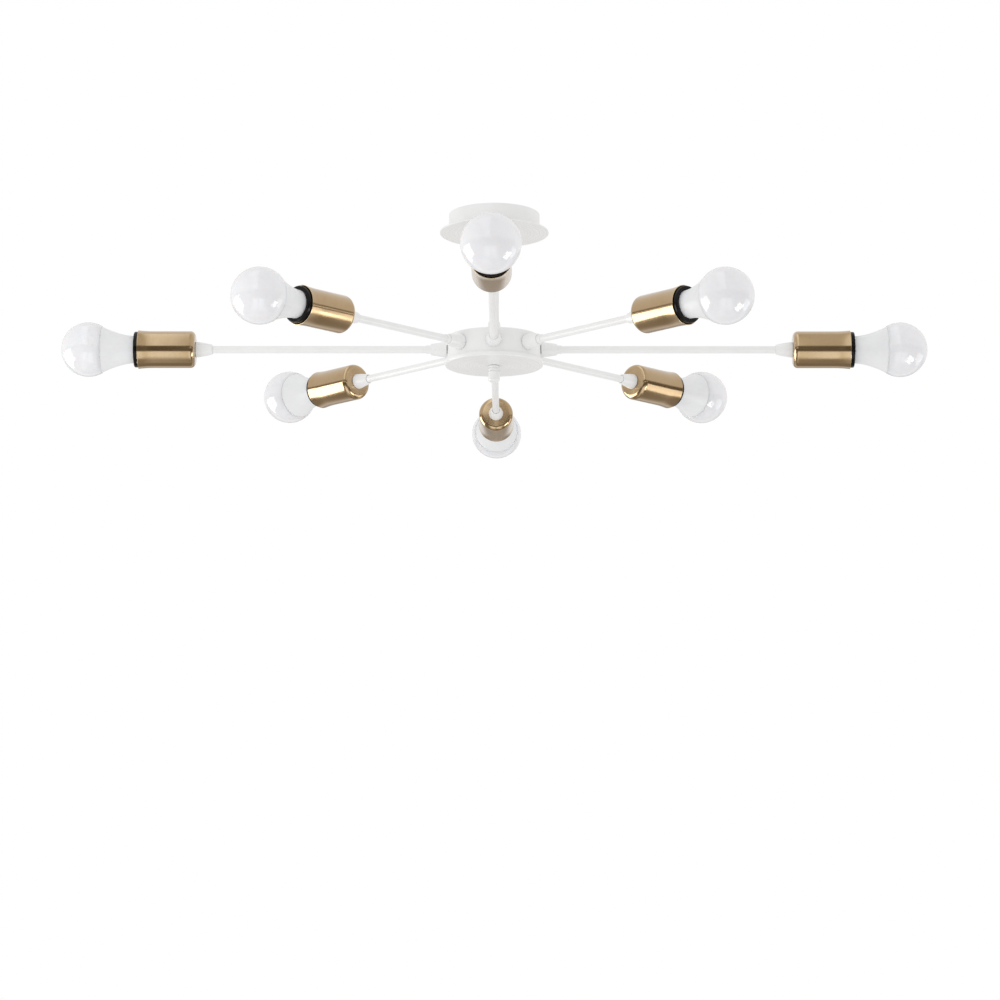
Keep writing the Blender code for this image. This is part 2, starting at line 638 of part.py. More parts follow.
def build():
    clear_scene()
    parts = new_collection("multi_arm_chandelier")
    materials = build_materials()
    build_bracket(parts, materials["zinc_steel"])
    build_cap_nuts(parts, materials["canopy_white"])
    build_canopy_cup(parts, materials["canopy_white"])
    build_canopy_plate(parts, materials["canopy_white"])
    build_terminal_block(parts, materials["block_nylon"])
    build_downrod(parts, materials["white_paint"])
    build_rod_nut(parts, materials["zinc_steel"])
    build_rod_ferrule(parts, materials["white_ferrule"])
    build_drum(parts, materials["hub_white"])
    build_cover(parts, materials["hub_white"])
    build_finial(parts, materials["hub_white"])
    build_arms(parts, materials)


build()
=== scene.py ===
"""Looks for the eight-arm ceiling light: finely turned pieces, their finishes, light and camera.

Metres, +Z up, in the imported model's frame. A turned piece is a half section about its own Z axis.
Sections are written in millimetres as (radius, height) or (radius, height, rounding) corners.
"""

import math

import bmesh
import bpy
from mathutils import Matrix, Vector


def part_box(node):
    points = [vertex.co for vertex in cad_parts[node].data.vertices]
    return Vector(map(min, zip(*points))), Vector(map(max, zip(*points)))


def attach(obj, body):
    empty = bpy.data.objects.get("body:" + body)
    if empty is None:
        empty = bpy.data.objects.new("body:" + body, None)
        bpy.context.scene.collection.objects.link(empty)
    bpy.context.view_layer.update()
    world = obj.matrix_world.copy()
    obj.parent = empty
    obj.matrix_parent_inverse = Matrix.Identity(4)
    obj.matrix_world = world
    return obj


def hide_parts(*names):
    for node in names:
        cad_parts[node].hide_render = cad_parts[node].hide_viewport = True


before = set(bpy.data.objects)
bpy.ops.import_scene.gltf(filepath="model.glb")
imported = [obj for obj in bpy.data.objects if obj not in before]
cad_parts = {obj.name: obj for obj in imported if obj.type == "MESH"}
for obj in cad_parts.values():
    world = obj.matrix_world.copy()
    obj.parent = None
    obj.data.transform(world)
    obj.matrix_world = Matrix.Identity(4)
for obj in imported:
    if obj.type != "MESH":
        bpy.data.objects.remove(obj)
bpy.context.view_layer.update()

MM = 0.001
ARM_COUNT = 8

# Steps around turned pieces
HUB_STEPS = 144
ARM_STEPS = 48
SOCKET_STEPS = 72
THREAD_STEPS = 48
THREAD_ROWS = 8  # to each turn of a thread
SMALL_STEPS = 24
SHARP_ANGLE = math.radians(38)
ON_AXIS = 1e-7
# A rounding takes at most this share of a side, and a point just past it holds the shading
MOST_OF_SIDE = 0.4
HOLD = 1.15

# Sizes of the pieces, in millimetres, where the frame doesn't give them
CLEARANCE = 0.3
METRIC_DEPTH = 0.35
CANOPY_RADIUS = 50
CANOPY_WALL = 1
PLATE_RADIUS = 60
STUD_RADIUS = 2
STUD_PITCH = 0.7
CAP_NUT_RADIUS = 4.5
CAP_NUT_HEIGHT = 3
CAP_NUT_DOME = 3.9
BRACKET_THICKNESS = 2
SLOT_OFFSET = 22
SLOT_RADIUS = 2.5
SLOT_STRETCH = 11
POLE_SPACING = 9
WIRE_ENTRY_RADIUS = 1.6
SCREW_WELL_RADIUS = 1.9
SCREW_RADIUS = 1.7
SCREW_TOP = -1.6  # below the terminal block's top
SCREW_BOTTOM = -4.8
LOCK_NUT_RADIUS = 9
LOCK_NUT_CHAMFER = 0.9
FLANGE_RADIUS = 9
FLANGE_THICKNESS = 3
ROD_PITCH = 1
ROD_SHOULDER = 8  # from the drum's roof down to the step at the rod's tip
WIRE_WINDOW_RADIUS = 2.6
WIRE_WINDOW_HEIGHT = 4.6
ROD_RADIUS = 5.25
ROD_BORE = 4
ROD_TIP_RADIUS = 4
ROD_TIP_BORE = 2.75
CONE_LENGTH = 17.4
CONE_RADIUS = 8.75
CONE_TIP = 6.2
TUBE_RADIUS = 4
TUBE_BORE = 3
STUB_RADIUS = 5
STUB_PITCH = 1
COLLAR_RADIUS = 4.7
COLLAR_LENGTH = 5
DRUM_WALL = 1.5
BOSS_RADIUS = 7.5
BOSS_LENGTH = 5
COVER_WALL = 1.5
COVER_TOP = 4.5
FINIAL_RADIUS = 6.3
FINIAL_WAIST = 5.4
FINIAL_BEAD = 2.4
FINIAL_STEP = 3.3
FINIAL_BORE = 9.3
FERRULE_RADIUS = 8.6
FERRULE_TIP = 5.4
FERRULE_LENGTH = 18.2
FERRULE_SWELL = 1.3
CUP_RADIUS = 20.25
CUP_FLARE = 1
CUP_FLARE_LENGTH = 18
CUP_LENGTH = 62.7
CUP_WALL = 0.9
CUP_FILLET = 5.5
HOLDER_FRONT = 67.2  # the lampholder's front face, from the cup's base
HOLDER_RING = 8
HOLDER_MOUTH = 16
HOLDER_MOUTH_DEPTH = 3.2
HOLDER_BORE = 14.1
HOLDER_DEPTH = 31.5
HOLDER_SHOULDER = 5.5
HOLDER_POCKET = 6.8
WIRE_HOLE_RADIUS = 2.5
SHELL_FRONT = -4
SHELL_BACK = -30
SHELL_WALL = 0.1  # between the shell's outside and the lampholder's bore
BULB_RADIUS = 30
BULB_REACH = 80.5
BULB_SEAM = 35.5
BULB_SHOULDER = 25.3
BULB_HOLLOW = 1.75
BULB_NECK = 15
CAP_RADIUS = 13.2
CAP_TOP = -0.9
CAP_EDGE = -22.9
CAP_MOUTH = 9.4
CAP_END = -26.2
CAP_PITCH = 3.62
CAP_THREAD_DEPTH = 0.85

# The middle values of a noise pattern, where most of it lies
PATTERN_LOW = 0.35
PATTERN_HIGH = 0.65

# How bright the studio is at each height of a direction, from straight down at -1 to straight up at 1.
# Shiny surfaces mirror a studio with dark gaps between its panels, matt ones are lit by a soft tent.
MIRRORED = {
    "left": [
        (-1, 0.5), (-0.8, 1.4), (-0.45, 1.35), (-0.34, 0.12), (0.14, 0.11), (0.24, 1.25), (1, 1.3),
    ],
    "right": [
        (-0.97, 0.3), (-0.9, 1.3), (-0.46, 1.4), (-0.36, 0.16), (0.14, 0.15), (0.26, 0.6), (1, 0.64),
    ],
    "side": [(-1, 0.25), (-0.5, 0.25), (-0.1, 0.14), (0.1, 0.14), (0.2, 0.74), (1, 0.74)],
    "back": [
        (-0.7, 0.28), (-0.56, 0.7), (-0.42, 0.7), (-0.3, 0.38), (-0.14, 0.38), (0.02, 0.8), (1, 0.8),
    ],
}
TENT = {
    "left": [(-1, 1), (-0.3, 0.89), (0.2, 0.78), (1, 1)],
    "right": [(-1, 0.98), (-0.3, 0.86), (0.2, 0.74), (1, 0.94)],
    "side": [(-1, 0.95), (-0.3, 0.92), (0.2, 0.88), (1, 1)],
    "back": [(-1, 1), (0, 1.1), (1, 1.1)],
}
# Powers of a level that give its green and blue, so that dark places in the mirrored studio are brown
MIRRORED_WARMTH = (1.1, 1.22)
TENT_WARMTH = (1, 1)
# The dark gap the camera stands in, between the front panels
GAP_LEVEL = 0.3
# Where one zone passes into the next, in the sideways and the backward part of a direction
LEFT_TO_RIGHT = (-0.02, 0.02)
GAP_TO_FRONT = (0.01, 0.045)
FRONT_TO_SIDE = (0.25, 0.5)
FRONT_TO_BACK = (0.1, 0.35)

# Panels that shiny surfaces mirror, and lamps that light matt ones.
# Name, place, width and height in metres, and power in watts
PANELS = [
    ("key_left", (-2.2, 0.4, -0.85), (2.1, 1.5), 36),
    ("side_right", (2.3, 0.3, -0.97), (1.4, 1.1), 7),
    ("window_right", (1.0, -0.4, -0.9), (0.5, 0.5), 3.6),
]
LAMPS = [("wash_left", (-1.0, -0.7, -0.4), (0.5, 0.5), 1.5)]
AIM = Vector((0, 0, -0.15))

FLOOR_HEIGHT = -4.6
FLOOR_REACH = 60

CAMERA_PLACE = (0.0274, -3.6908, -1.0318)
CAMERA_LENS = 124.29
CAMERA_SENSOR = 36
# In degrees: to the left of straight ahead, up from straight down, and round its own axis
CAMERA_PAN = 0.32
CAMERA_TILT = 100.9
CAMERA_ROLL = 0.09


# ---------------------------------------------------------------- mesh tools


def rounded(corners, closed=True):
    """Section points in metres, with each corner's rounding and a tight point either side of it."""
    points = []
    count = len(corners)
    for i, corner in enumerate(corners):
        here = Vector(corner[:2])
        rounding = corner[2] if len(corner) > 2 else 0
        at_end = not closed and i in (0, count - 1)
        if not rounding or at_end:
            points.append(here)
            continue
        back = Vector(corners[i - 1][:2]) - here
        ahead = Vector(corners[(i + 1) % count][:2]) - here
        half = back.angle(ahead) / 2
        reach = min(rounding / math.tan(half), back.length * MOST_OF_SIDE, ahead.length * MOST_OF_SIDE)
        start = here + back.normalized() * reach
        end = here + ahead.normalized() * reach
        points.append(here + back.normalized() * reach * HOLD)
        for t in (0, 0.25, 0.5, 0.75, 1):
            points.append(start.lerp(here, t).lerp(here.lerp(end, t), t))
        points.append(here + ahead.normalized() * reach * HOLD)
    return [(p.x * MM, p.y * MM, 0) for p in points]


def thread_rows(radius, low, high, depth, pitch):
    """Section points up a threaded length. The thread fades out over its first and last half turn."""
    rows = []
    count = round(abs(high - low) / pitch * THREAD_ROWS)
    for i in range(count + 1):
        height = low + (high - low) * i / count
        fade = min(1, 2 * abs(height - low) / pitch, 2 * abs(high - height) / pitch)
        rows.append((radius * MM, height * MM, depth * fade * MM))
    return rows


def turned(name, section, steps, closed=True, pitch=0.0):
    """A section turned about Z. Where a point has a thread depth, the thread is right-handed."""
    cage = bmesh.new()
    rings = []
    for radius, height, depth in section:
        ring = []
        for i in range(1 if radius < ON_AXIS else steps):
            angle = math.tau * i / steps
            cut = 0
            if depth:
                cut = depth * (1 + math.cos(math.tau * height / (pitch * MM) - angle)) / 2
            reach = radius - cut
            ring.append(cage.verts.new((reach * math.cos(angle), reach * math.sin(angle), height)))
        rings.append(ring)
    pairs = list(zip(rings, rings[1:]))
    if closed:
        pairs.append((rings[-1], rings[0]))
    for low, high in pairs:
        for i in range(steps):
            j = (i + 1) % steps
            corners = [low[i % len(low)], low[j % len(low)], high[j % len(high)], high[i % len(high)]]
            corners = list(dict.fromkeys(corners))
            if len(corners) > 2:
                cage.faces.new(corners)
    bmesh.ops.recalc_face_normals(cage, faces=cage.faces)
    return mesh_from(name, cage)


def mesh_from(name, cage):
    mesh = bpy.data.meshes.new(name)
    cage.to_mesh(mesh)
    cage.free()
    mesh.shade_smooth()
    mesh.set_sharp_from_angle(angle=SHARP_ANGLE)
    return mesh


def placed(name, mesh, matrix, material=None):
    obj = bpy.data.objects.new(name, mesh)
    bpy.context.scene.collection.objects.link(obj)
    obj.matrix_world = matrix
    if material and not mesh.materials:
        mesh.materials.append(material)
    return obj


def stand_in(obj, body, slot, *nodes):
    """The piece takes its place on a body and stands for CAD nodes. The slot is not used."""
    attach(obj, body)
    if nodes:
        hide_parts(*nodes)
    return obj


def combine(obj, operation, tools):
    """Adds, cuts or keeps the tool objects with the piece's mesh, and removes them."""
    group = bpy.data.collections.new("tools")
    bpy.context.scene.collection.children.link(group)
    for tool in tools:
        group.objects.link(tool)
    modifier = obj.modifiers.new("tools", "BOOLEAN")
    modifier.solver = "EXACT"
    modifier.operation = operation
    modifier.operand_type = "COLLECTION"
    modifier.collection = group
    evaluated = obj.evaluated_get(bpy.context.evaluated_depsgraph_get())
    mesh = bpy.data.meshes.new_from_object(evaluated)
    mesh.name = obj.name
    mesh.shade_smooth()
    mesh.set_sharp_from_angle(angle=SHARP_ANGLE)
    obj.modifiers.clear()
    obj.data = mesh
    for tool in tools:
        bpy.data.objects.remove(tool, do_unlink=True)
    bpy.data.collections.remove(group)


def rod_tool(radius, low, high, matrix, steps=ARM_STEPS, stretch=0.0):
    """A plain round bar in millimetres, or a slot shape stretched along Y, to cut or add with."""
    reach, low, high = radius * MM, low * MM, high * MM
    section = [(0, low, 0), (reach, low, 0), (reach, high, 0), (0, high, 0)]
    mesh = turned("tool", section, steps, closed=False)
    for vertex in mesh.vertices:
        if abs(vertex.co.y) > ON_AXIS:
            vertex.co.y += math.copysign(stretch / 2 * MM, vertex.co.y)
    return placed("tool", mesh, matrix)


def block(name, size, rounding, matrix):
    """A box in millimetres with rounded edges."""
    cage = bmesh.new()
    stretch = Matrix.Diagonal(Vector((*[s * MM for s in size], 1)))
    bmesh.ops.create_cube(cage, size=1, matrix=stretch)
    edges = cage.edges[:]
    bmesh.ops.bevel(cage, geom=edges, offset=rounding * MM, segments=3, profile=0.5, affect="EDGES")
    return placed(name, mesh_from(name, cage), matrix)


# ---------------------------------------------------------------- places


def arm_matrix(index, distance=0.0):
    """Frame of an arm: origin on its axis at this distance from the hub's centre, Z pointing out."""
    low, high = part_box("arm_1")
    height = (low.z + high.z) / 2
    azimuth = -math.pi / 2 + math.tau * index / ARM_COUNT
    turn = Matrix.Rotation(azimuth, 4, "Z") @ Matrix.Rotation(math.pi / 2, 4, "Y")
    return Matrix.Translation((0, 0, height)) @ turn @ Matrix.Translation((0, 0, distance))


def along_arm(node, index):
    """Nearest and farthest distance of a CAD node along its arm, in metres."""
    inverse = arm_matrix(index).inverted()
    heights = [(inverse @ v.co).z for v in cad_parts[node].data.vertices]
    return min(heights), max(heights)


def at_height(z):
    return Matrix.Translation((0, 0, z))


# ---------------------------------------------------------------- finishes


class Finish:
    """A material on a Principled shader, with short calls for its patterns."""

    def __init__(self, name, colour, roughness, metallic=0.0, **sockets):
        self.material = bpy.data.materials.new(name)
        self.material.use_nodes = True
        self.tree = self.material.node_tree
        self.shader = self.tree.nodes["Principled BSDF"]
        self.colour = (*colour, 1)
        self.shader.inputs["Base Color"].default_value = self.colour
        self.shader.inputs["Roughness"].default_value = roughness
        self.shader.inputs["Metallic"].default_value = metallic
        for socket, value in sockets.items():
            self.shader.inputs[socket.replace("_", " ")].default_value = value
        self.place = self.tree.nodes.new("ShaderNodeTexCoord").outputs["Object"]

    def link(self, source, target):
        self.tree.links.new(source, target)

    def noise(self, scale, stretch=(1, 1, 1), detail=3.0):
        """Noise in features per metre, closer together along the axes with a larger stretch."""
        mapping = self.tree.nodes.new("ShaderNodeMapping")
        mapping.inputs["Scale"].default_value = [scale * s for s in stretch]
        self.link(self.place, mapping.inputs["Vector"])
        noise = self.tree.nodes.new("ShaderNodeTexNoise")
        noise.inputs["Scale"].default_value = 1
        noise.inputs["Detail"].default_value = detail
        self.link(mapping.outputs["Vector"], noise.inputs["Vector"])
        return noise.outputs["Fac"]

    def rings(self, scale):
        """Noise that changes only with the distance from the Z axis, as on a spun disc."""
        flat = self.tree.nodes.new("ShaderNodeMapping")
        flat.inputs["Scale"].default_value = (scale, scale, 0)
        self.link(self.place, flat.inputs["Vector"])
        length = self.tree.nodes.new("ShaderNodeVectorMath")
        length.operation = "LENGTH"
        self.link(flat.outputs["Vector"], length.inputs[0])
        noise = self.tree.nodes.new("ShaderNodeTexNoise")
        noise.noise_dimensions = "1D"
        noise.inputs["Scale"].default_value = 1
        self.link(length.outputs["Value"], noise.inputs["W"])
        return noise.outputs["Fac"]

    def ranged(self, factor, low, high, target):
        """Spreads a pattern's middle values between two numbers and links them to a socket."""
        spread = self.tree.nodes.new("ShaderNodeMapRange")
        spread.inputs["From Min"].default_value = PATTERN_LOW
        spread.inputs["From Max"].default_value = PATTERN_HIGH
        spread.inputs["To Min"].default_value = low
        spread.inputs["To Max"].default_value = high
        self.link(factor, spread.inputs["Value"])
        self.link(spread.outputs["Result"], self.shader.inputs[target])

    def bump(self, factor, depth):
        """Adds relief of this depth in millimetres on top of any already there."""
        bump = self.tree.nodes.new("ShaderNodeBump")
        bump.inputs["Distance"].default_value = depth * MM
        self.link(factor, bump.inputs["Height"])
        normal = self.shader.inputs["Normal"]
        if normal.links:
            self.link(normal.links[0].from_socket, bump.inputs["Normal"])
        self.link(bump.outputs["Normal"], normal)

    def tint(self, factor, other, low=PATTERN_LOW, high=PATTERN_HIGH):
        """Mixes another colour in where a pattern is high."""
        ramp = self.tree.nodes.new("ShaderNodeMapRange")
        ramp.inputs["From Min"].default_value = low
        ramp.inputs["From Max"].default_value = high
        self.link(factor, ramp.inputs["Value"])
        mix = self.tree.nodes.new("ShaderNodeMix")
        mix.data_type = "RGBA"
        mix.inputs["A"].default_value = self.colour
        mix.inputs["B"].default_value = (*other, 1)
        target = self.shader.inputs["Base Color"]
        if target.links:
            self.link(target.links[0].from_socket, mix.inputs["A"])
        self.link(ramp.outputs["Result"], mix.inputs["Factor"])
        self.link(mix.outputs["Result"], target)

    def turned_grain(self, amount):
        """Stretches highlights across grooves that run round the Z axis."""
        tangent = self.tree.nodes.new("ShaderNodeTangent")
        tangent.direction_type = "RADIAL"
        tangent.axis = "Z"
        self.shader.inputs["Anisotropic"].default_value = amount
        self.shader.inputs["Anisotropic Rotation"].default_value = 0.25
        self.link(tangent.outputs["Tangent"], self.shader.inputs["Tangent"])


def powder_coat(name, colour, roughness):
    """Satin white powder coat: orange peel, faint clouding and a little uneven gloss."""
    finish = Finish(name, colour, roughness)
    peel = finish.noise(700, detail=2)
    finish.bump(peel, 0.012)
    finish.bump(finish.noise(3200, detail=1), 0.002)
    finish.ranged(peel, roughness - 0.04, roughness + 0.05, "Roughness")
    shade = [c * 0.965 for c in colour]
    finish.tint(finish.noise(45), shade, 0.4, 0.75)
    return finish.material


def spun_coat(name, colour, roughness):
    """White coat on a spun disc, where the turning marks still show through."""
    finish = Finish(name, colour, roughness)
    finish.turned_grain(0.75)
    finish.bump(finish.rings(2600), 0.0005)
    finish.bump(finish.noise(700, detail=2), 0.008)
    finish.ranged(finish.rings(1800), roughness - 0.01, roughness + 0.015, "Roughness")
    finish.tint(finish.noise(40), [c * 0.97 for c in colour], 0.4, 0.75)
    return finish.material


def brushed_brass():
    """Lacquered antique brass, brushed round the cup, with faint brown toning."""
    brass = (0.57, 0.41, 0.228)
    finish = Finish("brushed_brass", brass, 0.17, 1, Coat_Weight=1, Coat_Roughness=0.08)
    finish.turned_grain(0.8)
    lines = finish.noise(60, (1, 1, 60), 4)
    finish.bump(lines, 0.0012)
    finish.ranged(lines, 0.15, 0.21, "Roughness")
    finish.tint(lines, (0.52, 0.37, 0.2), 0.42, 0.75)
    finish.tint(finish.noise(90), (0.53, 0.37, 0.19), 0.5, 0.8)
    return finish.material


def polished_edge():
    """Bare bright metal where the cup's rim was cut."""
    finish = Finish("brass_edge", (0.78, 0.62, 0.38), 0.16, 1)
    finish.ranged(finish.noise(1500, (1, 1, 3)), 0.12, 0.24, "Roughness")
    return finish.material


def phenolic():
    """Black moulded phenolic, glossy where the mould was polished."""
    finish = Finish("black_phenolic", (0.004, 0.004, 0.004), 0.14, Specular_IOR_Level=0.16)
    finish.tint(finish.noise(500), (0.008, 0.007, 0.007))
    finish.ranged(finish.noise(900), 0.11, 0.2, "Roughness")
    finish.bump(finish.noise(1500), 0.001)
    return finish.material


def opal_plastic():
    """The bulb's diffuser: glossy opal plastic that lets a little light through."""
    opal = (0.865, 0.865, 0.885)
    finish = Finish("opal_dome", opal, 0.08, IOR=1.68, Subsurface_Weight=0.6, Subsurface_Scale=0.012)
    finish.shader.inputs["Subsurface Radius"].default_value = (1, 0.9, 0.85)
    finish.tint(finish.noise(30), (0.845, 0.845, 0.868), 0.4, 0.7)
    finish.ranged(finish.noise(120), 0.07, 0.1, "Roughness")
    finish.bump(finish.noise(220, detail=1), 0.006)
    return finish.material


def housing_plastic():
    """The bulb's lower half: finely sparked matt plastic."""
    finish = Finish("bulb_housing", (0.86, 0.865, 0.87), 0.42)
    finish.bump(finish.noise(4200, detail=2), 0.006)
    finish.ranged(finish.noise(300), 0.37, 0.48, "Roughness")
    finish.tint(finish.noise(60), (0.83, 0.835, 0.845), 0.4, 0.7)
    return finish.material


def plated(name, colour, roughness):
    """Plated metal with fine scratches and slightly uneven gloss."""
    finish = Finish(name, colour, roughness, 1)
    finish.ranged(finish.noise(450), roughness - 0.07, roughness + 0.1, "Roughness")
    finish.tint(finish.noise(160), [c * 0.86 for c in colour])
    finish.bump(finish.noise(2500, (1, 1, 4)), 0.002)
    return finish.material


def moulded(name, colour, roughness):
    """Plain moulded plastic or glass."""
    finish = Finish(name, colour, roughness)
    finish.ranged(finish.noise(400), roughness - 0.05, roughness + 0.08, "Roughness")
    finish.tint(finish.noise(200), [c * 0.92 for c in colour])
    finish.bump(finish.noise(1800), 0.004)
    return finish.material


def all_finishes():
    white = (0.89, 0.89, 0.885)
    return {
        "paint": powder_coat("white_paint", white, 0.34),
        "ferrule": powder_coat("white_ferrule", white, 0.3),
        "hub": powder_coat("hub_white", white, 0.36),
        "disc": spun_coat("spun_white", white, 0.28),
        "brass": brushed_brass(),
        "edge": polished_edge(),
        "black": phenolic(),
        "dome": opal_plastic(),
        "housing": housing_plastic(),
        "nickel": plated("nickel_plate", (0.66, 0.64, 0.6), 0.26),
        "tin": plated("contact_tin", (0.6, 0.6, 0.6), 0.36),
        "zinc": plated("zinc_steel", (0.58, 0.61, 0.64), 0.34),
        "screw": plated("screw_brass", (0.7, 0.52, 0.27), 0.3),
        "glass": moulded("cap_glass", (0.02, 0.02, 0.024), 0.12),
        "nylon": moulded("block_nylon", (0.8, 0.8, 0.75), 0.45),
    }


# ---------------------------------------------------------------- centre stack


def make_canopy(finish):
    low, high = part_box("canopy_cup")
    height = (high.z - low.z) / MM
    bore = ROD_RADIUS + CLEARANCE
    inner = CANOPY_RADIUS - CANOPY_WALL
    section = rounded(
        [
            (CANOPY_RADIUS, height, 0.3),
            (CANOPY_RADIUS, 0, 2.2),
            (bore, 0, 0.2),
            (bore, CANOPY_WALL),
            (inner, CANOPY_WALL, 1.1),
            (inner, height, 0.3),
        ]
    )
    mesh = turned("canopy_cup", section, HUB_STEPS)
    cup = placed("canopy_cup_shell", mesh, at_height(low.z), finish["hub"])
    combine(cup, "DIFFERENCE", stud_holes(low.z))
    stand_in(cup, "frame", "canopy_white", "canopy_cup")

    low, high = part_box("canopy_plate")
    height = (high.z - low.z) / MM
    section = rounded(
        [(PLATE_RADIUS, height, 0.55), (PLATE_RADIUS, 0, 0.55), (bore, 0, 0.2), (bore, height, 0.2)]
    )
    mesh = turned("canopy_plate", section, HUB_STEPS)
    plate = placed("canopy_disc", mesh, at_height(low.z), finish["disc"])
    combine(plate, "DIFFERENCE", stud_holes(low.z))
    stand_in(plate, "frame", "canopy_white", "canopy_plate")


def stud_place(side, z=0.0):
    """On the axis of the near or the far stud, at this height."""
    low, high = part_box("canopy_nut_2")
    return Matrix.Translation((0, side * (low.y + high.y) / 2, z))


def stud_holes(z):
    radius = STUD_RADIUS + CLEARANCE
    return [rod_tool(radius, -3, 6, stud_place(side, z), THREAD_STEPS) for side in (-1, 1)]


def make_cap_nuts(finish):
    """Acorn nuts: a hexagon with a dome on it."""
    corners = [
        (0, -CAP_NUT_HEIGHT),
        (CAP_NUT_RADIUS, -CAP_NUT_HEIGHT, 0.35),
        (CAP_NUT_RADIUS, 0, 0.2),
        (0, 0),
    ]
    for number, side in enumerate((-1, 1), start=1):
        node = f"canopy_nut_{number}"
        low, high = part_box(node)
        seat = stud_place(side, high.z)
        hexagon = turned("nut", rounded(corners, False), 6, False)
        nut = placed(f"cap_nut_{number}", hexagon, seat, finish["hub"])
        ball = [(0, (low.z - high.z) / MM)]
        for i in range(1, 9):
            angle = math.radians(90 * i / 8)
            drop = CAP_NUT_HEIGHT + 0.1 + CAP_NUT_DOME * math.cos(angle)
            ball.append((CAP_NUT_DOME * math.sin(angle), -drop))
        ball += [(CAP_NUT_DOME, 1 - CAP_NUT_HEIGHT), (0, 1 - CAP_NUT_HEIGHT)]
        dome = placed("dome", turned("dome", rounded(ball, False), ARM_STEPS, False), seat)
        combine(nut, "UNION", [dome])
        combine(nut, "DIFFERENCE", [rod_tool(STUD_RADIUS + CLEARANCE, -5, 1, seat)])
        stand_in(nut, "frame", "canopy_white", node)


def make_bracket(finish):
    low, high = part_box("ceiling_bracket")
    length = (high.y - low.y) / MM
    width = (high.x - low.x) / MM
    strap = rod_tool(
        width / 2, -BRACKET_THICKNESS, 0, at_height(high.z), THREAD_STEPS, length - width
    )
    strap.name = "bracket_strap"
    strap.data.materials.append(finish["zinc"])
    slots = []
    for side in (-1, 1):
        place = Matrix.Translation((0, side * SLOT_OFFSET * MM, 0))
        slots.append(rod_tool(SLOT_RADIUS, -4, 2, place, ARM_STEPS, SLOT_STRETCH))
    combine(strap, "DIFFERENCE", slots)
    edges = strap.modifiers.new("edges", "BEVEL")
    edges.width = 0.25 * MM
    edges.segments = 2
    edges.limit_method = "ANGLE"
    stand_in(strap, "frame", "zinc_steel", "ceiling_bracket")
    bottom = low.z / MM
    top = -0.2
    section = rounded([(0, bottom), (STUD_RADIUS - 0.4, bottom)], False)
    section += thread_rows(STUD_RADIUS, bottom + 0.4, top - BRACKET_THICKNESS, METRIC_DEPTH, STUD_PITCH)
    section += rounded([(STUD_RADIUS, top), (0, top)], False)
    for number, side in enumerate((-1, 1), start=1):
        mesh = turned("bracket_stud", section, SMALL_STEPS, False, STUD_PITCH)
        stud = placed(f"bracket_stud_{number}", mesh, stud_place(side), finish["zinc"])
        stand_in(stud, "frame", "zinc_steel", "ceiling_bracket")


def make_terminal_block(finish):
    low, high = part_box("terminal_block")
    middle = (low + high) / 2
    size = [(b - a) / MM for a, b in zip(low, high)]
    body = block("terminal_body", size, 0.8, Matrix.Translation(middle))
    body.data.materials.append(finish["nylon"])
    tools = []
    along_x = Matrix.Rotation(math.pi / 2, 4, "Y")
    for pole in (-1, 0, 1):
        y = middle.y + pole * POLE_SPACING * MM
        entry = Matrix.Translation((middle.x, y, middle.z - size[2] / 6 * MM)) @ along_x
        tools.append(rod_tool(WIRE_ENTRY_RADIUS, -size[0], size[0], entry, THREAD_STEPS))
        for number, side in enumerate((-1, 1), start=1):
            place = Matrix.Translation((middle.x + side * size[0] / 4 * MM, y, high.z))
            tools.append(rod_tool(SCREW_WELL_RADIUS, -5, 2, place, THREAD_STEPS))
            make_slotted_screw(f"terminal_screw_{pole + 2}_{number}", place, finish)
    for gap in (-0.5, 0.5):
        place = Matrix.Translation((middle.x, middle.y + gap * POLE_SPACING * MM, high.z))
        tools.append(block("tool", (size[0] + 4, 1.4, 8), 0.2, place))
    combine(body, "DIFFERENCE", tools)
    stand_in(body, "frame", "block_nylon", "terminal_block")


def make_slotted_screw(name, place, finish):
    section = rounded(
        [
            (0, SCREW_BOTTOM),
            (SCREW_RADIUS, SCREW_BOTTOM),
            (SCREW_RADIUS, SCREW_TOP, 0.25),
            (0, SCREW_TOP),
        ],
        False,
    )
    screw = placed(name, turned(name, section, SMALL_STEPS, False), place, finish["screw"])
    slot = block("tool", (4.5, 0.5, 1.2), 0.05, place @ at_height(SCREW_TOP * MM))
    combine(screw, "DIFFERENCE", [slot])
    stand_in(screw, "frame", "block_nylon")


